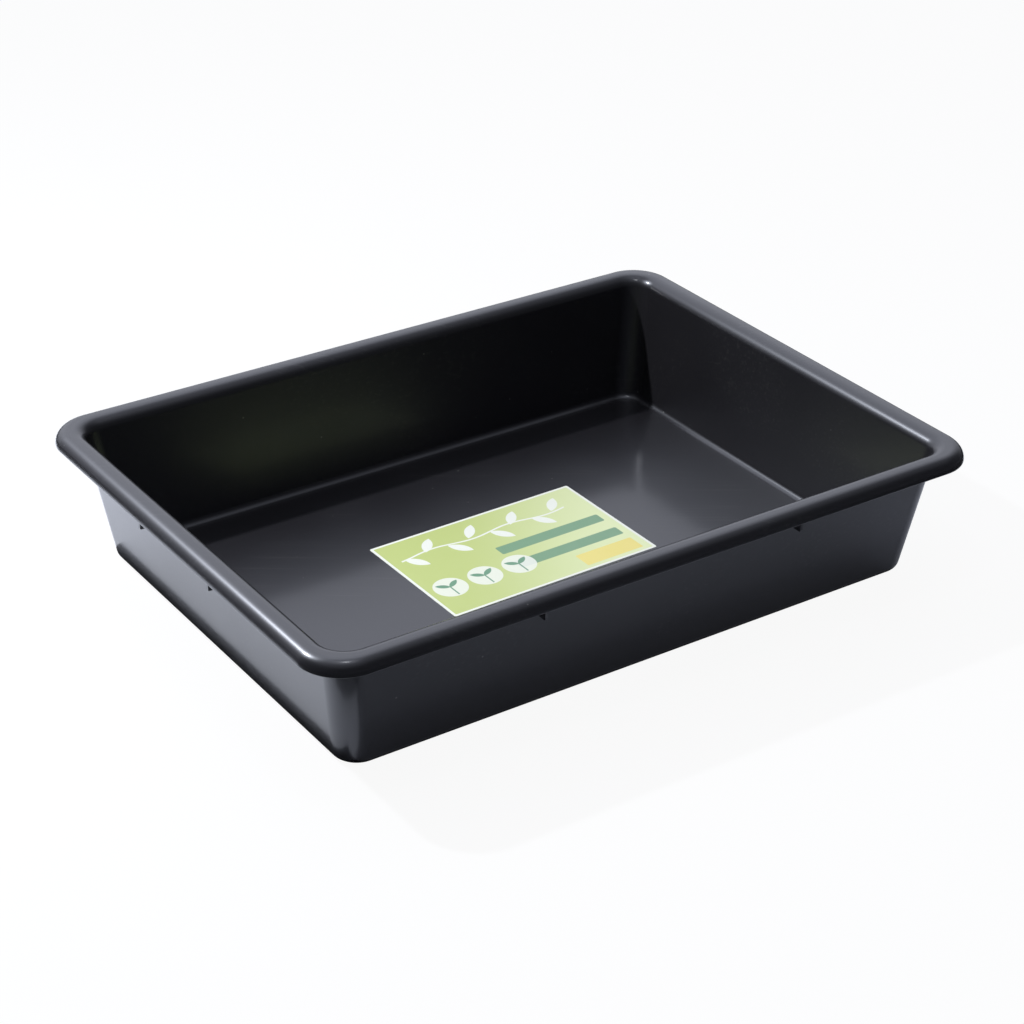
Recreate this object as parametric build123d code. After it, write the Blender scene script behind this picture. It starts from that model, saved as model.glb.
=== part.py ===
from build123d import *
import os
from math import cos, radians, tan

# Garden potting tray: one black injection-moulded tray with a printed label stuck on its floor.
# Millimetres. The origin is the middle of the underside, on the surface that the tray stands on.
# +X runs along the long sides, +Y along the short sides, +Z up.

# Tray, overall
rim_length = 560.0          # over the rim, along X
rim_breadth = 418.0         # over the rim, along Y
tray_height = 105.0         # from the underside to the top of the rim
wall = 2.2                  # thickness of floor, walls, rim and skirt
lean_of_ends = 8.8          # lean of the two short walls away from upright, in degrees
lean_of_sides = 7.8         # lean of the two long walls away from upright, in degrees
wall_corner = 20.0          # outer radius of the four leaning corners
base_round = 8.0            # outer round between wall and underside

# Rolled rim, from outside to inside: skirt, outer round, narrow flat, inner round, wall
outer_round = 9.5
rim_flat = 2.1
inner_round = 10.2
skirt_straight = 1.0        # upright end of the skirt, below the outer round
skirt_edge_round = 0.9      # both edges of the skirt's lower end
rim_corner = 34.3           # plan radius of the rim's outer corners

# Stacking ribs: upright fins under the rim, on which the tray above stands in a stack
rib_thickness = 2.0
rib_drop = 7.0              # how far a rib reaches below the skirt
rib_spacing_long = 218.0    # between the two ribs on each long side
rib_spacing_short = 101.0   # between the two ribs on each short side
rib_tip_round = 1.2         # outer lower corner of a rib

# Printed label, stuck on the floor
label_length = 185.0
label_breadth = 118.0
label_thickness = 0.2
label_corner = 1.5
label_place_x = 11.0        # middle of the label, from the middle of the floor
label_place_y = 8.0
label_turn = 0.7            # it was put on by hand, slightly turned, in degrees

overrun = 5.0               # how far a cutting tool runs past the face that it cuts
closeness = 0.01            # an edge this near to a height counts as lying at it

# Worked out from the sizes above
skirt_height = outer_round + skirt_straight
skirt_bottom = tray_height - skirt_height
rim_underside = tray_height - wall
rib_bottom = skirt_bottom - rib_drop


def rim_outline(inset, height):
    """Rounded outline of the rim at one height, moved in from its outer face."""
    shape = RectangleRounded(rim_length - 2 * inset, rim_breadth - 2 * inset, rim_corner - inset)
    return Plane.XY.offset(height) * shape


def level_edges(shape, height):
    """Edges of a shape that lie level at one height."""
    return shape.edges().filter_by_position(Axis.Z, height - closeness, height + closeness)


def wall_inset(lean, height, inward=0):
    """Level way from the rim's outer face in to the outer face of a leaning wall, at one height.
    Inward is how far the face is moved into the wall."""
    inner_round_reach = inner_round * tan(radians(45 - lean / 2))
    at_rim_top = outer_round + rim_flat + inner_round_reach - wall / cos(radians(lean))
    return at_rim_top + (tray_height - height) * tan(radians(lean)) + inward / cos(radians(lean))


def leaning_block(inward, low, high):
    """Solid with the walls' lean and corners between two heights, its faces moved inward."""
    length = rim_length - 2 * wall_inset(lean_of_ends, low, inward)
    breadth = rim_breadth - 2 * wall_inset(lean_of_sides, low, inward)
    base = Plane.XY.offset(low)
    block = extrude(base * Rectangle(length, breadth), high - low)
    block = draft(block.faces().filter_by(Axis.X), base, -lean_of_ends)
    block = draft(block.faces().filter_by(Axis.Y), base, -lean_of_sides)
    corners = block.edges() - level_edges(block, low) - level_edges(block, high)
    return fillet(corners, wall_corner - inward)


def outer_body():
    """Walls and floor as a solid block, with the round along the underside."""
    block = leaning_block(0, 0, tray_height)
    return fillet(level_edges(block, 0), base_round)


def cavity():
    """The space inside the walls, with the round along the floor."""
    space = leaning_block(wall, wall, tray_height + overrun)
    return fillet(level_edges(space, wall), base_round - wall)


def under_rim():
    """The space inside the skirt and under the rim's top, down to the tips of the ribs."""
    space = extrude(rim_outline(wall, rib_bottom), rim_underside - rib_bottom)
    return fillet(level_edges(space, rim_underside), outer_round - wall)


def rim_cover(channel):
    """The rim's top and skirt, closed over the middle until the cavity is cut."""
    slab = extrude(rim_outline(0, skirt_bottom), skirt_height)
    cover = fillet(level_edges(slab, tray_height), outer_round) - channel
    return fillet(level_edges(cover, skirt_bottom), skirt_edge_round)


def rib(side, half_extent, lean, along):
    """One stacking rib, from the skirt's inside into the wall. Side turns it from the +X side."""
    inner_end = half_extent - wall_inset(lean, rib_bottom)
    length = half_extent - wall - inner_end
    from_corner = (Align.MIN, Align.CENTER, Align.MIN)
    fin = Box(length, rib_thickness, rib_drop + skirt_height, align=from_corner)
    tip = level_edges(fin, 0).filter_by(Axis.Y).sort_by(Axis.X)[-1]
    return Rot(0, 0, side) * Pos(inner_end, along, rib_bottom) * fillet(tip, rib_tip_round)


def ribs():
    """All stacking ribs, two on each side."""
    end = (rim_length / 2, lean_of_ends)
    side = (rim_breadth / 2, lean_of_sides)
    fins = []
    for along in (-rib_spacing_short / 2, rib_spacing_short / 2):
        fins += [rib(0, *end, along), rib(180, *end, along)]
    for along in (-rib_spacing_long / 2, rib_spacing_long / 2):
        fins += [rib(90, *side, along), rib(270, *side, along)]
    return fins


def make_tray():
    """The tray, in one piece: rim, skirt, ribs, walls and floor."""
    channel = under_rim()
    rim = rim_cover(channel)
    body = outer_body()
    tray = rim + body
    tray = fillet(new_edges(rim, body, combined=tray), inner_round - wall)
    for fin in ribs():
        tray += fin & channel
    space = cavity()
    hollow_tray = tray - space
    mouth = level_edges(hollow_tray, tray_height) & new_edges(tray, space, combined=hollow_tray)
    return fillet(mouth, inner_round)


def make_label():
    """The printed label, lying on the floor."""
    shape = RectangleRounded(label_length, label_breadth, label_corner)
    place = Pos(label_place_x, label_place_y, wall) * Rot(0, 0, label_turn)
    return extrude(place * shape, label_thickness)


os.makedirs("parts", exist_ok=True)
export_step(make_tray(), "parts/tray.step")
export_step(make_label(), "parts/label.step")
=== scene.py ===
"""Looks of a garden potting tray: the moulded tray, its printed label and the studio round them."""

from math import cos, pi, radians, sin, tan

import bmesh
import bpy
from bpy.props import FloatProperty, FloatVectorProperty, IntProperty, PointerProperty
from mathutils import Matrix, Vector


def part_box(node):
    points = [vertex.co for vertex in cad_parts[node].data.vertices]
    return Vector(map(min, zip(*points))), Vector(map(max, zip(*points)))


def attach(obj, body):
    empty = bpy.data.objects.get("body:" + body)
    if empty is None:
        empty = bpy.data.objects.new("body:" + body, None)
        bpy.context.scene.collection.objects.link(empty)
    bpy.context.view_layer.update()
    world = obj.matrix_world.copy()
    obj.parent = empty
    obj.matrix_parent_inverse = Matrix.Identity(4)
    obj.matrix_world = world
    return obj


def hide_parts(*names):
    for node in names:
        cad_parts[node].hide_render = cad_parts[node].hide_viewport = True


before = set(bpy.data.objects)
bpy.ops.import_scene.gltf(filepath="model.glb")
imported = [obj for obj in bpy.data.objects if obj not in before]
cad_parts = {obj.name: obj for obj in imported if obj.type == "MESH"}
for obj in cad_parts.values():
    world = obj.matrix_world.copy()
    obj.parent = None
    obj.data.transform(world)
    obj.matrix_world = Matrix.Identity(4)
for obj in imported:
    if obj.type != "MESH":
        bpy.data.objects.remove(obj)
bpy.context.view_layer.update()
tray_low, tray_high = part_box("tray")
label_low, label_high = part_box("label")

bl_info = {
    "name": "Potting Tray",
    "version": (1, 0, 0),
    "blender": (4, 5, 0),
    "location": "3D View > Sidebar > Potting Tray",
    "description": "Builds the looks of a moulded potting tray with a printed label",
    "category": "Object",
}

# Layout of the print on the label, in metres from its middle. Halves are half sizes, x before y.
PRINT_EDGE = 0.00018                # softness of every printed edge
PRINT_CORNER = 0.0006               # corner of the printed field
GROUND_SLOPE, GROUND_FADE = 0.5, (-0.06, 0.11)  # the ground pales from left to right and downwards
BAND_MIDDLES = ((0.036, 0.002), (0.036, -0.0225))
BAND_HALF, BAND_CORNER, BAND_SHARE = (0.048, 0.0058), 0.0015, 0.9
PATCH_MIDDLE, PATCH_HALF, PATCH_CORNER = (0.058, -0.0445), (0.026, 0.0085), 0.001
STEM_MIDDLE, STEM_HALF, STEM_CORNER = (-0.006, 0.0315), (0.076, 0.02), 0.002
STEM_WAVE, STEM_TURNS = 0.0022, 90.0    # height of its waves, and radians of wave per metre
STEM_SOFTNESS = (0.0006, 0.0011)        # from the middle of the line to where its edge starts and ends
LEAVES, LEAF_START, LEAF_STEP = 8, -0.072, 0.0195
LEAF_RISE, LEAF_HALF, LEAF_TURN = 0.0085, (0.0105, 0.0042), 0.9
DISCS, DISC_START, DISC_STEP = 3, (-0.072, -0.022), 0.031
DISC_RADIUS, DISC_CORNER, DISC_SHARE = 0.0135, 0.0134, 0.85
STALK_HEIGHT, STALK_HALF, STALK_CORNER = -0.0275, (0.0006, 0.0065), 0.0004
SPROUT_HEIGHT, SPROUT_REACH, SPROUT_HALF, SPROUT_TURN = -0.0185, 0.0045, (0.006, 0.0023), 0.6

# Patterns on the plastic. A scale is in waves or cells per metre, and edges are the values of a pattern
# between which a mark fades.
CLOUD_REACH = (0.3, 0.7)            # most of a cloudy pattern lies between these values
GRAIN_SCALE, WAVE_SCALE, PATCH_SCALE = 1500.0, 22.0, 9.0
GRAIN_HEIGHT, WAVE_HEIGHT, RELIEF = 0.00006, 0.0005, 0.25
PATCH_ROUGHNESS = (-0.02, 0.03)     # what the patches take from and add to the roughness
RUB_EDGES, RUB_PATCHES = (0.55, 0.75), (0.48, 0.62)
DUST_SCALE, DUST_EDGES = 90.0, (0.04, 0.09)
DUST_CELLS = (0.90, 0.92)           # about one cell in ten holds a speck

# Patterns on the film, in the same way
MOTTLE_SCALE, MOTTLE_ROUGHNESS = 70.0, (-0.05, 0.05)
RIPPLE_SCALE, RIPPLE_HEIGHT, RIPPLE_RELIEF = 28.0, 0.0005, 0.3

# Room light. A height is the sine of the angle above the floor.
BACK_SIDES = (0.30, 0.97)           # cosines from the middle of the bright back: where it starts and is full
BACK_TOP = (0.82, 0.98)             # heights between which the bright back ends
HIGH_GLOW = (0.55, 0.96, 1.0, 5.0)  # heights between which the other sides grow lighter, and their levels
TOP_GLOW = (0.93, 0.99, 0.0, 6.0)   # the same for what is added right overhead


# Settings

def length(name, description, default):
    """A size in metres that a user may change."""
    return FloatProperty(name=name, description=description, default=default, unit="LENGTH", precision=5)


def angle(name, description, degrees):
    """An angle that a user may change."""
    return FloatProperty(name=name, description=description, default=radians(degrees), subtype="ANGLE")


def colour(name, description, default):
    """A colour that a user may change."""
    return FloatVectorProperty(
        name=name, description=description, default=default, subtype="COLOR", size=3, min=0, max=1)


def factor(name, description, default):
    """A share from 0 to 1 that a user may change."""
    return FloatProperty(name=name, description=description, default=default, subtype="FACTOR", min=0, max=1)


class TrayMoulding(bpy.types.PropertyGroup):
    """Sizes of the moulded tray and its finish."""

    wall: length("Wall", "Thickness of floor, walls, rim and skirt", 0.0022)
    lean_of_ends: angle("Lean of ends", "Lean of the short walls away from upright", 8.8)
    lean_of_sides: angle("Lean of sides", "Lean of the long walls away from upright", 7.8)
    wall_corner: length("Wall corner", "Outer radius of the leaning corners", 0.020)
    base_round: length("Base round", "Outer round between wall and underside", 0.008)
    outer_round: length("Outer round", "Round between the skirt and the top of the rim", 0.0095)
    rim_flat: length("Rim flat", "Width of the flat along the top of the rim", 0.0021)
    inner_round: length("Inner round", "Round between the top of the rim and the wall", 0.0102)
    skirt_straight: length("Skirt straight", "Upright end of the skirt", 0.001)
    skirt_edge_round: length("Skirt edge", "Round of both edges of the skirt", 0.0009)
    rim_corner: length("Rim corner", "Plan radius of the corners of the rim", 0.0343)
    rib_thickness: length("Rib thickness", "Thickness of a stacking rib", 0.002)
    rib_drop: length("Rib drop", "How far a rib reaches below the skirt", 0.007)
    rib_spacing_long: length("Rib spacing, sides", "Between the two ribs on a long side", 0.218)
    rib_spacing_short: length("Rib spacing, ends", "Between the two ribs on a short side", 0.101)
    rib_tip_round: length("Rib tip", "Round of the outer lower corner of a rib", 0.0012)
    corner_steps: IntProperty(name="Corner steps", description="Faces round each corner", default=20)
    bend_steps: IntProperty(name="Bend steps", description="Faces round each bend", default=14)
    plastic: colour("Plastic", "Colour of the moulding", (0.0096, 0.0090, 0.0108))
    scuffed: colour("Scuffed plastic", "Colour of the faint scuffs and dust", (0.11, 0.11, 0.105))
    sheen: colour("Sheen", "Tint of the soft reflections on the plastic", (0.87, 0.90, 1.0))
    roughness: factor("Roughness", "Roughness of the body of the plastic", 0.36)
    body_ior: FloatProperty(name="Body IOR", description="Refraction of the plastic's body", default=1.63)
    skin_roughness: factor("Skin roughness", "Roughness of the glossy skin of the moulding", 0.14)
    skin_ior: FloatProperty(name="Skin IOR", description="Refraction of the glossy skin", default=1.34)
    wall_gloss: factor("Wall gloss", "Share of the glossy skin on the grained inner walls", 0.25)
    rub_length: length("Rub length", "Length of the faint rubs", 0.12)
    rub_width: length("Rub width", "Width of the faint rubs", 0.0024)
    rub_turn: angle("Rub turn", "Direction of the faint rubs", -34.0)
    rub_strength: factor("Rub strength", "How much of the scuffed colour a rub shows", 0.10)
    dust_strength: factor("Dust strength", "How much of the scuffed colour a speck of dust shows", 0.8)


class FloorLabel(bpy.types.PropertyGroup):
    """Print and place of the label."""

    across: length("Length", "Length of the label", 0.185)
    down: length("Breadth", "Breadth of the label", 0.118)
    turn: angle("Turn", "How far the label is turned on the floor", 0.7)
    border: length("Border", "Width of the unprinted border", 0.0022)
    film: colour("Film", "Colour of the unprinted film", (0.82, 0.84, 0.76))
    ground: colour("Ground", "Colour of the print at the left", (0.505, 0.585, 0.205))
    pale_ground: colour("Pale ground", "Colour of the print at the right", (0.725, 0.79, 0.465))
    band: colour("Band", "Colour of the plain bands and leaves", (0.15, 0.31, 0.20))
    patch: colour("Patch", "Colour of the plain patch", (0.80, 0.69, 0.22))
    roughness: factor("Roughness", "Roughness of the film", 0.39)
    ior: FloatProperty(name="IOR", description="Refraction of the film", default=1.48)


class StudioStage(bpy.types.PropertyGroup):
    """Camera, floor and lights."""

    lens: FloatProperty(name="Lens", description="Focal length in millimetres", default=88.192)
    azimuth: angle("Azimuth", "Where the camera stands round the tray", -34.3404)
    elevation: angle("Elevation", "How far the camera looks down", 28.9010)
    roll: angle("Roll", "Turn of the camera about its own line of sight", 0.5759)
    distance: length("Distance", "From the camera to what it looks at", 1.863126)
    target: FloatVectorProperty(
        name="Target", description="Point that the camera looks at",
        default=(-0.006744, -0.015459, 0.050), subtype="TRANSLATION")
    floor_size: length("Floor", "Length of each side of the floor", 14.0)
    floor: colour("Floor colour", "Colour of the floor", (0.84, 0.86, 0.92))
    floor_seen: factor("Floor seen", "How white the camera sees the floor", 0.93)
    floor_mirrored: factor("Floor mirrored", "How white mirrors and glass show the floor", 0.03)
    light: colour("Lamp colour", "Colour of the lamps", (0.94, 0.965, 1.0))
    room: colour("Room colour", "Colour of the room's own light", (0.86, 0.89, 1.0))
    key_level: FloatProperty(name="Key", description="Light of the key lamp on what faces it", default=3.0)
    key_azimuth: angle("Key azimuth", "Side that the key lamp shines from", -45.5)
    key_elevation: angle("Key elevation", "Height that the key lamp shines from", 47.7)
    key_distance: length("Key distance", "From the tray to the key lamp", 1.293)
    key_size: length("Key size", "Length of each side of the key lamp", 0.04)
    top_level: FloatProperty(name="Top", description="Light of the top lamp on what faces it", default=0.2)
    top_azimuth: angle("Top azimuth", "Side that the top lamp shines from", -135.0)
    top_elevation: angle("Top elevation", "Height that the top lamp shines from", 78.0)
    top_size: length("Top size", "Length of each side of the top lamp", 0.17)
    back_azimuth: angle("Back azimuth", "Middle of the bright back of the room", 15.0)
    back_level: FloatProperty(name="Back level", description="Light from the back, low down", default=0.56)
    back_rise: FloatProperty(name="Back rise", description="How much that grows up to overhead", default=0.98)
    front_level: FloatProperty(name="Front level", description="Light from the other sides", default=0.08)
    # The pool of light is the round hole in the painted dark reflection, where the tray reflects the pale
    # floor
    lit_pool_radius: length("Pool of light", "Radius of the pale table that the tray reflects", 0.50)
    lit_pool_place: FloatVectorProperty(
        name="Pool of light, place", description="Middle of the pale table",
        default=(0.06, 0.16, 0.001), subtype="TRANSLATION")
    # Painted contact shadow: a dark sheet under the tray that only reflections show; this is how far it
    # reaches beyond the foot at the left
    painted_shadow_reach: length("Painted shadow reach", "How far the dark mat shows beyond the foot at the left", 0.010)
    # Colour of the painted dark reflection beyond the pool of light
    surround: colour("Surround", "Colour of the dark surround of the table", (0.05, 0.05, 0.05))
    # Colour of the painted contact shadow under the tray
    mat: colour("Mat", "Colour of the dark mat under the tray", (0.015, 0.015, 0.015))


# Node helpers

def add(tree, kind, inputs, **settings):
    """One node with its settings, and its inputs set or linked."""
    made = tree.nodes.new(kind)
    for name, value in settings.items():
        setattr(made, name, value)
    for key, value in inputs.items():
        if isinstance(value, bpy.types.NodeSocket):
            tree.links.new(value, made.inputs[key])
        else:
            made.inputs[key].default_value = value
    return made


def calc(tree, operation, *values):
    """Result of one Math node."""
    return add(tree, "ShaderNodeMath", dict(enumerate(values)), operation=operation).outputs[0]


def between(tree, value, low, high, to_low=0.0, to_high=1.0):
    """Smooth step of a value from one range to another."""
    ranges = {0: value, 1: low, 2: high, 3: to_low, 4: to_high}
    return add(tree, "ShaderNodeMapRange", ranges, interpolation_type="SMOOTHSTEP").outputs[0]


def noise(tree, where, scale, detail=1.0):
    """Cloudy pattern from 0 to 1, with most of it near the middle."""
    return add(tree, "ShaderNodeTexNoise", {"Vector": where, "Scale": scale, "Detail": detail}).outputs[0]


def uneven(tree, pattern, value, spread):
    """A value that a cloudy pattern lowers and raises."""
    lower, higher = spread
    return between(tree, pattern, *CLOUD_REACH, value + lower, value + higher)


def relief(tree, pattern, strength, distance, under=None):
    """Normal of a surface with a pattern raised on it, over another relief if there is one."""
    inputs = {"Strength": strength, "Distance": distance, "Height": pattern}
    if under is not None:
        inputs["Normal"] = under
    return add(tree, "ShaderNodeBump", inputs).outputs[0]


def blend(tree, share, first, second):
    """Mix of two colours."""
    made = add(tree, "ShaderNodeMix", {0: share, 6: first, 7: second}, data_type="RGBA")
    return made.outputs[2]


def diagonal(tree, across, up):
    """Length of a slanting line from its two parts."""
    squares = [calc(tree, "MULTIPLY", part, part) for part in (across, up)]
    return calc(tree, "SQRT", calc(tree, "ADD", *squares))


def opaque(value):
    """A stored colour with full alpha."""
    return (*value, 1.0)


def empty_tree(owner):
    """The cleared node tree of a material or world."""
    owner.use_nodes = True
    owner.node_tree.nodes.clear()
    return owner.node_tree


def new_material(name):
    """An empty material with its tree, its shader and the object's own coordinates."""
    material = bpy.data.materials.new(name)
    tree = empty_tree(material)
    shader = tree.nodes.new("ShaderNodeBsdfPrincipled")
    add(tree, "ShaderNodeOutputMaterial", {"Surface": shader.outputs[0]})
    where = tree.nodes.new("ShaderNodeTexCoord").outputs["Object"]
    return material, tree, shader, where


def dress(tree, shader, patterns, constants):
    """Link the shader's patterned inputs and set its constant ones."""
    for key, value in patterns.items():
        tree.links.new(value, shader.inputs[key])
    for key, value in constants.items():
        shader.inputs[key].default_value = value


# Materials

def moulded_plastic(sizes):
    """Black plastic with a glossy skin: fine mould grain, slow waviness, faint rubs and dust."""
    material, tree, shader, where = new_material("moulded_plastic")
    grain = noise(tree, where, GRAIN_SCALE, detail=3.0)
    waves = noise(tree, where, WAVE_SCALE)
    patches = noise(tree, where, PATCH_SCALE)
    rub_space = add(tree, "ShaderNodeMapping", {
        "Vector": where, "Rotation": (0.0, 0.0, sizes.rub_turn),
        "Scale": (sizes.rub_length, sizes.rub_width, sizes.rub_width)}, vector_type="TEXTURE")
    rubs = noise(tree, rub_space.outputs[0], 1.0)
    cells = add(tree, "ShaderNodeTexVoronoi", {"Vector": where, "Scale": DUST_SCALE})
    chosen = add(tree, "ShaderNodeSeparateColor", {0: cells.outputs["Color"]}).outputs[0]
    rubbed = calc(tree, "MULTIPLY", between(tree, rubs, *RUB_EDGES, 0.0, sizes.rub_strength),
                  between(tree, patches, *RUB_PATCHES))
    dust = calc(tree, "MULTIPLY", between(tree, cells.outputs["Distance"], *DUST_EDGES, 1.0, 0.0),
                between(tree, chosen, *DUST_CELLS, 0.0, sizes.dust_strength))
    marks = calc(tree, "MAXIMUM", rubbed, dust)
    slow = relief(tree, waves, RELIEF, WAVE_HEIGHT)
    dress(tree, shader, {
        "Base Color": blend(tree, marks, opaque(sizes.plastic), opaque(sizes.scuffed)),
        "Roughness": uneven(tree, patches, sizes.roughness, PATCH_ROUGHNESS),
        "Normal": relief(tree, grain, RELIEF, GRAIN_HEIGHT, under=slow),
        "Coat Weight": skin_gloss(tree, sizes, where), "Coat Normal": slow,
    }, {
        "IOR": sizes.body_ior, "Specular Tint": opaque(sizes.sheen), "Coat IOR": sizes.skin_ior,
        "Coat Roughness": sizes.skin_roughness,
    })
    return material


def skin_gloss(tree, sizes, where):
    """Weight of the glossy skin: full on the polished floor, the rim and outside, less on the
    inner walls, where the mould leaves a grain."""
    place = add(tree, "ShaderNodeSeparateXYZ", {0: where})
    height = place.outputs[2]
    leans = (sizes.lean_of_ends, sizes.lean_of_sides)
    at_foot = [
        calc(tree, "SUBTRACT", calc(tree, "ABSOLUTE", way), calc(tree, "MULTIPLY", height, tan(lean)))
        for way, lean in zip(place.outputs, leans)]
    half = [high - wall_inset(sizes, lean, 0.0, sizes.wall / 2) for high, lean in zip(tray_high, leans)]
    inside = box_mask(tree, at_foot, (0.0, 0.0), half, sizes.wall_corner - sizes.wall / 2)
    above_floor = between(tree, height, sizes.wall * 1.2, sizes.base_round)
    round_start, round_middle = tray_high.z - sizes.inner_round, tray_high.z - sizes.inner_round / 2
    below_rim = between(tree, height, round_start, round_middle, 1.0, 0.0)
    grained = calc(tree, "MULTIPLY", inside, calc(tree, "MULTIPLY", above_floor, below_rim))
    return between(tree, grained, 0.0, 1.0, 1.0, sizes.wall_gloss)


def box_mask(tree, place, middle, half, corner):
    """1 inside a rectangle with rounded corners, with edges as soft as print."""
    past = []
    for way, centre, reach in zip(place, middle, half):
        off = calc(tree, "ABSOLUTE", calc(tree, "SUBTRACT", way, centre))
        past.append(calc(tree, "MAXIMUM", calc(tree, "SUBTRACT", off, reach - corner), 0.0))
    return between(tree, diagonal(tree, *past), corner - PRINT_EDGE, corner + PRINT_EDGE, 1.0, 0.0)


def leaf_mask(tree, place, middle, half, turn):
    """1 inside a pointed leaf: where two equal circles overlap."""
    half_length, half_width = half
    radius = (half_length ** 2 + half_width ** 2) / (2 * half_width)
    dx, dy = (calc(tree, "SUBTRACT", way, centre) for way, centre in zip(place, middle))
    along = calc(tree, "ADD", calc(tree, "MULTIPLY", dx, cos(turn)), calc(tree, "MULTIPLY", dy, sin(turn)))
    across = calc(
        tree, "SUBTRACT", calc(tree, "MULTIPLY", dy, cos(turn)), calc(tree, "MULTIPLY", dx, sin(turn)))
    across = calc(tree, "ADD", calc(tree, "ABSOLUTE", across), radius - half_width)
    return between(tree, diagonal(tree, along, across), radius - PRINT_EDGE, radius + PRINT_EDGE, 1.0, 0.0)


def stem_mask(tree, place):
    """1 on a wavy stem and its leaves, which stand above and below it in turn."""
    x, y = place
    wave = calc(tree, "MULTIPLY", calc(tree, "SINE", calc(tree, "MULTIPLY", x, STEM_TURNS)), STEM_WAVE)
    off = calc(tree, "ABSOLUTE", calc(tree, "SUBTRACT", calc(tree, "SUBTRACT", y, STEM_MIDDLE[1]), wave))
    mask = calc(tree, "MULTIPLY", between(tree, off, *STEM_SOFTNESS, 1.0, 0.0),
                box_mask(tree, place, STEM_MIDDLE, STEM_HALF, STEM_CORNER))
    for number in range(LEAVES):
        side = 1 if number % 2 else -1
        middle = (LEAF_START + number * LEAF_STEP, STEM_MIDDLE[1] + side * LEAF_RISE)
        leaf = leaf_mask(tree, place, middle, LEAF_HALF, side * LEAF_TURN)
        mask = calc(tree, "MAXIMUM", mask, leaf)
    return mask


def seedling_mask(tree, place, centre):
    """1 on a seedling: a stalk with two leaves."""
    mask = box_mask(tree, place, (centre, STALK_HEIGHT), STALK_HALF, STALK_CORNER)
    for side in (-1, 1):
        middle = (centre + side * SPROUT_REACH, SPROUT_HEIGHT)
        mask = calc(tree, "MAXIMUM", mask, leaf_mask(tree, place, middle, SPROUT_HALF, side * SPROUT_TURN))
    return mask


def printed_film(sizes):
    """Satin film with a plain garden print: leaves on a stem, bands, a patch and small seedlings."""
    material, tree, shader, where = new_material("printed_film")
    middle = (label_low + label_high) / 2
    space = add(tree, "ShaderNodeMapping", {
        "Vector": where, "Location": middle, "Rotation": (0.0, 0.0, sizes.turn)}, vector_type="TEXTURE")
    x, y, _ = add(tree, "ShaderNodeSeparateXYZ", {0: space.outputs[0]}).outputs
    place = (x, y)
    film, dark = opaque(sizes.film), opaque(sizes.band)

    lighter = between(tree, calc(tree, "SUBTRACT", x, calc(tree, "MULTIPLY", y, GROUND_SLOPE)), *GROUND_FADE)
    printed = blend(tree, lighter, opaque(sizes.ground), opaque(sizes.pale_ground))
    bands = calc(tree, "MAXIMUM", *(
        box_mask(tree, place, each, BAND_HALF, BAND_CORNER) for each in BAND_MIDDLES))
    printed = blend(tree, calc(tree, "MULTIPLY", bands, BAND_SHARE), printed, dark)
    patch = box_mask(tree, place, PATCH_MIDDLE, PATCH_HALF, PATCH_CORNER)
    printed = blend(tree, patch, printed, opaque(sizes.patch))
    printed = blend(tree, stem_mask(tree, place), printed, film)
    for number in range(DISCS):
        centre = DISC_START[0] + number * DISC_STEP
        disc = box_mask(tree, place, (centre, DISC_START[1]), (DISC_RADIUS, DISC_RADIUS), DISC_CORNER)
        printed = blend(tree, calc(tree, "MULTIPLY", disc, DISC_SHARE), printed, film)
        printed = blend(tree, seedling_mask(tree, place, centre), printed, dark)

    field = (sizes.across / 2 - sizes.border, sizes.down / 2 - sizes.border)
    inside = box_mask(tree, place, (0.0, 0.0), field, PRINT_CORNER)
    surface = blend(tree, inside, film, printed)
    mottle = noise(tree, where, MOTTLE_SCALE, detail=3.0)
    ripple = noise(tree, where, RIPPLE_SCALE)
    dress(tree, shader, {
        "Base Color": surface,
        "Roughness": uneven(tree, mottle, sizes.roughness, MOTTLE_ROUGHNESS),
        "Normal": relief(tree, ripple, RIPPLE_RELIEF, RIPPLE_HEIGHT),
    }, {"IOR": sizes.ior})
    return material


def floor_surface(stage):
    """Pale matt floor that the camera sees as white, with the tray's shadow kept."""
    material = bpy.data.materials.new("pale_floor")
    tree = empty_tree(material)
    rays = tree.nodes.new("ShaderNodeLightPath")
    matt = add(tree, "ShaderNodeBsdfDiffuse", {"Color": opaque(stage.floor)})
    white = add(tree, "ShaderNodeEmission", {"Color": (1.0, 1.0, 1.0, 1.0), "Strength": 1.0})
    mirrored = calc(tree, "MAXIMUM", rays.outputs["Is Glossy Ray"], rays.outputs["Is Transmission Ray"])
    share = calc(tree, "MAXIMUM", calc(tree, "MULTIPLY", rays.outputs["Is Camera Ray"], stage.floor_seen),
                 calc(tree, "MULTIPLY", mirrored, stage.floor_mirrored))
    mixed = add(tree, "ShaderNodeMixShader", {0: share, 1: matt.outputs[0], 2: white.outputs[0]})
    add(tree, "ShaderNodeOutputMaterial", {"Surface": mixed.outputs[0]})
    return material


def painted_reflection_surface(name, shade):
    """Dark matt surface for the painted shade that only reflections show."""
    material = bpy.data.materials.new(name)
    tree = empty_tree(material)
    matt = add(tree, "ShaderNodeBsdfDiffuse", {"Color": opaque(shade)})
    add(tree, "ShaderNodeOutputMaterial", {"Surface": matt.outputs[0]})
    return material


# Tray moulding

def wall_inset(sizes, lean, height, inward=0.0):
    """Level way from the rim's outer face in to a leaning wall at one height."""
    inner_round_reach = sizes.inner_round * tan(pi / 4 - lean / 2)
    at_top = sizes.outer_round + sizes.rim_flat + inner_round_reach - sizes.wall / cos(lean)
    return at_top + (tray_high.z - height) * tan(lean) + inward / cos(lean)


def bend(insets, height, radius, corner, start, stop, steps):
    """Stations round one bend. Angles run from outward through up, and corner is the plan radius
    of the bend's own middle."""
    stations = []
    for step in range(steps + 1):
        turn = start + (stop - start) * step / steps
        stations.append((
            [inset - radius * cos(turn) for inset in insets],
            height + radius * sin(turn),
            corner + radius * cos(turn)))
    return stations


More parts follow.
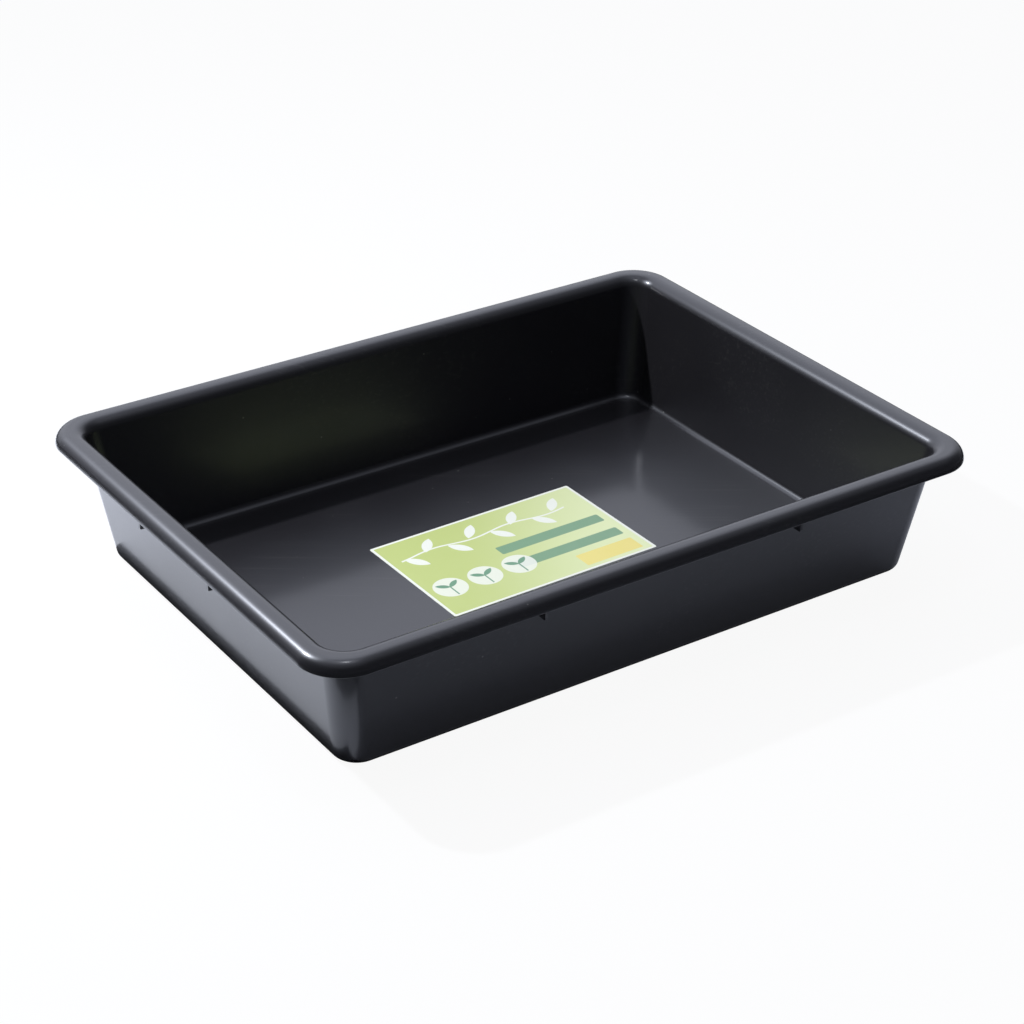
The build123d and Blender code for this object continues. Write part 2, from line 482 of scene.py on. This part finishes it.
def section(sizes):
    """Stations from the underside out to the rim and back in to the floor, each with its insets
    from the ends and the sides, its height and its plan corner."""
    top = tray_high.z
    wall, edge = sizes.wall, sizes.skirt_edge_round
    leans = (sizes.lean_of_ends, sizes.lean_of_sides)
    lean = sum(leans) / len(leans)
    foot_round, floor_round = sizes.base_round, sizes.base_round - wall
    groove_round, channel_round = sizes.inner_round - wall, sizes.outer_round - wall
    skirt_bottom = top - sizes.outer_round - sizes.skirt_straight
    roll_in = [sizes.outer_round + sizes.rim_flat] * 2
    roll_out = [sizes.outer_round] * 2
    foot = [wall_inset(sizes, each, 0) + foot_round * tan(pi / 4 - each / 2) for each in leans]
    floor = [wall_inset(sizes, each, wall, wall) + floor_round * tan(pi / 4 - each / 2) for each in leans]
    inside_corner = sizes.wall_corner - wall
    few, many = 4, sizes.bend_steps
    return [
        *bend(foot, foot_round, foot_round, sizes.wall_corner - foot_round * cos(lean), -pi / 2, -lean, many),
        *bend(roll_in, top - sizes.inner_round, groove_round, sizes.wall_corner + groove_round * cos(lean),
              pi - lean, pi / 2, many),
        *bend(roll_out, top - sizes.outer_round, channel_round, sizes.rim_corner - sizes.outer_round,
              pi / 2, 0, many),
        *bend([wall - edge] * 2, skirt_bottom + edge, edge, sizes.rim_corner - wall + edge,
              pi, 3 * pi / 2, few),
        *bend([edge] * 2, skirt_bottom + edge, edge, sizes.rim_corner - edge, -pi / 2, 0, few),
        *bend(roll_out, top - sizes.outer_round, sizes.outer_round, sizes.rim_corner - sizes.outer_round,
              0, pi / 2, many),
        *bend(roll_in, top - sizes.inner_round, sizes.inner_round,
              inside_corner + sizes.inner_round * cos(lean), pi / 2, pi - lean, many),
        *bend(floor, wall + floor_round, floor_round, inside_corner - floor_round * cos(lean),
              -lean, -pi / 2, many),
    ]


def rounded_ring(mesh, insets, height, corner, steps):
    """Closed ring of edges at one height: a rectangle with rounded corners."""
    half = [(high - low) / 2 - inset for low, high, inset in zip(tray_low, tray_high, insets)]
    corners = bmesh.ops.create_grid(mesh, x_segments=1, y_segments=1, size=1.0)["verts"]
    bmesh.ops.scale(mesh, vec=(*half, 1.0), verts=corners)
    bmesh.ops.translate(mesh, vec=(0.0, 0.0, height), verts=corners)
    rounded = bmesh.ops.bevel(
        mesh, geom=corners, offset=corner, segments=steps, profile=0.5, affect="VERTICES", material=-1)
    face = rounded["verts"][0].link_faces[0]
    edges = face.edges[:]
    bmesh.ops.delete(mesh, geom=[face], context="FACES_ONLY")
    return edges


def skin(mesh, stations, steps):
    """Closed shell through the stations. Its rings are bridged while they stand one above the
    other, because level rings give a bridge no direction, and then moved to their heights."""
    apart = tray_high.z
    rings = [
        rounded_ring(mesh, insets, number * apart, corner, steps)
        for number, (insets, _, corner) in enumerate(stations)]
    for ring, following in zip(rings, rings[1:]):
        bmesh.ops.bridge_loops(mesh, edges=ring + following)
    for end in (rings[0], rings[-1]):
        bmesh.ops.contextual_create(mesh, geom=end)
    bmesh.ops.recalc_face_normals(mesh, faces=mesh.faces[:])
    for number, (ring, (_, height, _)) in enumerate(zip(rings, stations)):
        verts = list({vert for edge in ring for vert in edge.verts})
        bmesh.ops.translate(mesh, vec=(0.0, 0.0, height - number * apart), verts=verts)


def finish_mesh(mesh, name, material, smooth=True):
    """An object at the origin made from a bmesh, with its material."""
    data = bpy.data.meshes.new(name)
    mesh.to_mesh(data)
    mesh.free()
    if smooth:
        data.shade_smooth()
    data.materials.append(material)
    made = bpy.data.objects.new(name, data)
    bpy.context.scene.collection.objects.link(made)
    return made


def rib_plate(sizes, side, half_extent, lean, along):
    """One stacking rib: an upright plate from the skirt's inside into the wall, turned to its side."""
    top = tray_high.z - sizes.wall
    bottom = tray_high.z - sizes.outer_round - sizes.skirt_straight - sizes.rib_drop
    into_wall = sizes.wall / 2
    outline = (
        (half_extent - sizes.wall, bottom, sizes.rib_tip_round),
        (half_extent - sizes.wall, top, sizes.outer_round - sizes.wall),
        (half_extent - wall_inset(sizes, lean, top, into_wall), top, sizes.inner_round - into_wall),
        (half_extent - wall_inset(sizes, lean, bottom, into_wall), bottom, 0.0),
    )
    mesh = bmesh.new()
    corners = [mesh.verts.new((x, along - sizes.rib_thickness / 2, z)) for x, z, _ in outline]
    mesh.faces.new(corners)
    for vert, (_, _, corner) in zip(corners, outline):
        if corner:
            bmesh.ops.bevel(
                mesh, geom=[vert], offset=corner, segments=8, profile=0.5, affect="VERTICES", material=-1)
    plate = bmesh.ops.extrude_face_region(mesh, geom=mesh.faces[:], use_keep_orig=True)["geom"]
    far_side = [each for each in plate if isinstance(each, bmesh.types.BMVert)]
    bmesh.ops.translate(mesh, vec=(0.0, sizes.rib_thickness, 0.0), verts=far_side)
    bmesh.ops.rotate(mesh, verts=mesh.verts[:], matrix=Matrix.Rotation(side, 3, "Z"))
    bmesh.ops.recalc_face_normals(mesh, faces=mesh.faces[:])
    return mesh


class POTTING_TRAY_OT_moulding(bpy.types.Operator):
    """Build the moulded tray: floor, leaning walls, rolled rim and skirt"""

    bl_idname = "potting_tray.moulding"
    bl_label = "Tray Moulding"

    def execute(self, context):
        sizes = context.scene.tray_moulding
        mesh = bmesh.new()
        skin(mesh, section(sizes), sizes.corner_steps)
        tray = finish_mesh(mesh, "tray_moulding", moulded_plastic(sizes))
        smoothing = tray.modifiers.new("Weighted Normal", "WEIGHTED_NORMAL")
        smoothing.weight = 100
        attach(tray, "root")
        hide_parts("tray")
        return {"FINISHED"}


class POTTING_TRAY_OT_ribs(bpy.types.Operator):
    """Build the upright stacking ribs under the rim, two on each side"""

    bl_idname = "potting_tray.ribs"
    bl_label = "Stacking Ribs"

    def execute(self, context):
        sizes = context.scene.tray_moulding
        end = (tray_high.x, sizes.lean_of_ends, sizes.rib_spacing_short / 2)
        side = (tray_high.y, sizes.lean_of_sides, sizes.rib_spacing_long / 2)
        ribs = bmesh.new()
        for turn, (half_extent, lean, spacing) in enumerate((end, side, end, side)):
            for along in (-spacing, spacing):
                plate = rib_plate(sizes, turn * pi / 2, half_extent, lean, along)
                copy = bpy.data.meshes.new("rib_plate")
                plate.to_mesh(copy)
                plate.free()
                ribs.from_mesh(copy)
                bpy.data.meshes.remove(copy)
        made = finish_mesh(ribs, "stacking_ribs", bpy.data.materials["moulded_plastic"], smooth=False)
        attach(made, "root")
        return {"FINISHED"}


class POTTING_TRAY_OT_label(bpy.types.Operator):
    """Print the label that lies on the floor of the tray"""

    bl_idname = "potting_tray.label"
    bl_label = "Floor Label"

    def execute(self, context):
        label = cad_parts["label"]
        label.data.materials.clear()
        label.data.materials.append(printed_film(context.scene.floor_label))
        return {"FINISHED"}


class POTTING_TRAY_OT_stage(bpy.types.Operator):
    """Set the floor, the lights, the room and the camera"""

    bl_idname = "potting_tray.stage"
    bl_label = "Studio Stage"

    def execute(self, context):
        stage = context.scene.studio_stage
        lay_floor(stage)
        lay_painted_dark_reflection(stage)
        lay_painted_contact_shadow(stage, context.scene.tray_moulding)
        light_room(context.scene, stage)
        place_lamp(
            "key_lamp", stage.key_azimuth, stage.key_elevation, stage.key_distance, stage.key_size,
            stage.key_level, stage.light)
        place_lamp(
            "top_lamp", stage.top_azimuth, stage.top_elevation, stage.key_distance, stage.top_size,
            stage.top_level, stage.light)
        place_camera(context.scene, stage)
        return {"FINISHED"}


def lay_floor(stage):
    """One large level floor under the tray."""
    mesh = bmesh.new()
    bmesh.ops.create_grid(mesh, x_segments=1, y_segments=1, size=stage.floor_size / 2)
    floor = finish_mesh(mesh, "studio_floor", floor_surface(stage))


def lay_painted_dark_reflection(stage):
    """Painted dark reflection: a dark floor beyond the edge of the pool of light. Only reflections show it.
    """
    mesh = bmesh.new()
    rings = [
        bmesh.ops.create_circle(mesh, segments=96, radius=radius)["verts"]
        for radius in (stage.lit_pool_radius, stage.floor_size / 4)]
    edges = list({edge for ring in rings for vert in ring for edge in vert.link_edges})
    bmesh.ops.bridge_loops(mesh, edges=edges)
    bmesh.ops.recalc_face_normals(mesh, faces=mesh.faces[:])
    bmesh.ops.translate(mesh, vec=stage.lit_pool_place, verts=mesh.verts[:])
    show_in_reflections(finish_mesh(mesh, "painted_dark_reflection", painted_reflection_surface("painted_dark_reflection_material", stage.surround)))


def lay_painted_contact_shadow(stage, sizes):
    """Painted contact shadow: a dark sheet under the tray, as large as its foot and moved to the left. Only
    reflections show it.
    """
    half = [high - wall_inset(sizes, lean, 0.0)
            for high, lean in zip(tray_high, (sizes.lean_of_ends, sizes.lean_of_sides))]
    mesh = bmesh.new()
    bmesh.ops.create_grid(mesh, x_segments=1, y_segments=1, size=1.0)
    bmesh.ops.scale(mesh, vec=(*half, 1.0), verts=mesh.verts[:])
    bmesh.ops.translate(mesh, vec=(-stage.painted_shadow_reach, 0.0, stage.lit_pool_place[2]), verts=mesh.verts[:])
    show_in_reflections(finish_mesh(mesh, "painted_contact_shadow", painted_reflection_surface("painted_contact_shadow_material", stage.mat)))


def show_in_reflections(cloth):
    """Make a stage piece one that only reflections show."""
    cloth.visible_camera = False
    cloth.visible_diffuse = False
    cloth.visible_transmission = False
    cloth.visible_shadow = False


def light_room(scene, stage):
    """Room light: a bright back that grows lighter upwards, dim other sides, white to the camera."""
    world = bpy.data.worlds.new("studio_room")
    scene.world = world
    tree = empty_tree(world)
    way = tree.nodes.new("ShaderNodeTexCoord").outputs["Generated"]
    height = add(tree, "ShaderNodeSeparateXYZ", {0: way}).outputs[2]
    level_way = add(tree, "ShaderNodeVectorMath", {0: way, 1: (1.0, 1.0, 0.0)}, operation="MULTIPLY")
    level_way = add(tree, "ShaderNodeVectorMath", {0: level_way.outputs[0]}, operation="NORMALIZE")
    back = (sin(stage.back_azimuth), cos(stage.back_azimuth), 0.0)
    facing = add(tree, "ShaderNodeVectorMath", {0: level_way.outputs[0], 1: back}, operation="DOT_PRODUCT")
    from_back = calc(tree, "ADD", calc(tree, "MULTIPLY", height, stage.back_rise), stage.back_level)
    from_back = calc(tree, "MULTIPLY", from_back, between(tree, facing.outputs["Value"], *BACK_SIDES))
    from_back = calc(tree, "MULTIPLY", from_back, between(tree, height, *BACK_TOP, 1.0, 0.0))
    around = calc(tree, "ADD", between(tree, height, *HIGH_GLOW), between(tree, height, *TOP_GLOW))
    around = calc(tree, "MULTIPLY", around, stage.front_level)
    level = calc(tree, "ADD", from_back, around)
    room = add(tree, "ShaderNodeBackground", {"Color": opaque(stage.room), "Strength": level})
    white = add(tree, "ShaderNodeBackground", {"Color": (1.0, 1.0, 1.0, 1.0), "Strength": 1.0})
    seen = tree.nodes.new("ShaderNodeLightPath").outputs["Is Camera Ray"]
    mixed = add(tree, "ShaderNodeMixShader", {0: seen, 1: room.outputs[0], 2: white.outputs[0]})
    add(tree, "ShaderNodeOutputWorld", {"Surface": mixed.outputs[0]})


def place_lamp(name, azimuth, elevation, distance, size, level, tint):
    """A square lamp that shines on the tray from one side and height, and that the camera doesn't see."""
    away = Vector((sin(azimuth) * cos(elevation), cos(azimuth) * cos(elevation), sin(elevation)))
    lamp = bpy.data.lights.new(name, "AREA")
    lamp.size = size
    lamp.energy = level * pi * distance ** 2
    lamp.color = tint
    made = bpy.data.objects.new(name, lamp)
    made.location = away * distance
    made.rotation_euler = away.to_track_quat("Z", "Y").to_euler()
    made.visible_camera = False
    bpy.context.scene.collection.objects.link(made)


def place_camera(scene, stage):
    """Camera at the viewing angle of the photograph."""
    camera = bpy.data.objects.new("camera", bpy.data.cameras.new("camera"))
    camera.data.sensor_width = 36.0
    camera.data.lens = stage.lens
    camera.data.clip_start, camera.data.clip_end = 0.01, 100.0
    turn = Matrix.Rotation(stage.azimuth, 4, "Z") @ Matrix.Rotation(pi / 2 - stage.elevation, 4, "X")
    turn = turn @ Matrix.Rotation(stage.roll, 4, "Z")
    back = turn @ Vector((0.0, 0.0, stage.distance))
    camera.matrix_world = Matrix.Translation(Vector(stage.target) + back) @ turn
    scene.collection.objects.link(camera)
    scene.camera = camera
    scene.view_settings.view_transform = "Standard"


class POTTING_TRAY_PT_panel(bpy.types.Panel):
    """Lists the steps that build the tray"""

    bl_label = "Potting Tray"
    bl_space_type = "VIEW_3D"
    bl_region_type = "UI"
    bl_category = "Potting Tray"

    def draw(self, context):
        for step in STEPS:
            self.layout.operator(step.bl_idname)


SETTINGS = {"tray_moulding": TrayMoulding, "floor_label": FloorLabel, "studio_stage": StudioStage}
STEPS = (POTTING_TRAY_OT_moulding, POTTING_TRAY_OT_ribs, POTTING_TRAY_OT_label, POTTING_TRAY_OT_stage)


def register():
    for group in (*SETTINGS.values(), *STEPS, POTTING_TRAY_PT_panel):
        bpy.utils.register_class(group)
    for name, group in SETTINGS.items():
        setattr(bpy.types.Scene, name, PointerProperty(type=group))


def unregister():
    for name in SETTINGS:
        delattr(bpy.types.Scene, name)
    for group in reversed((*SETTINGS.values(), *STEPS, POTTING_TRAY_PT_panel)):
        bpy.utils.unregister_class(group)


def main():
    """Build everything."""
    register()
    bpy.ops.potting_tray.moulding()
    bpy.ops.potting_tray.ribs()
    bpy.ops.potting_tray.label()
    bpy.ops.potting_tray.stage()


if __name__ == "__main__":
    main()
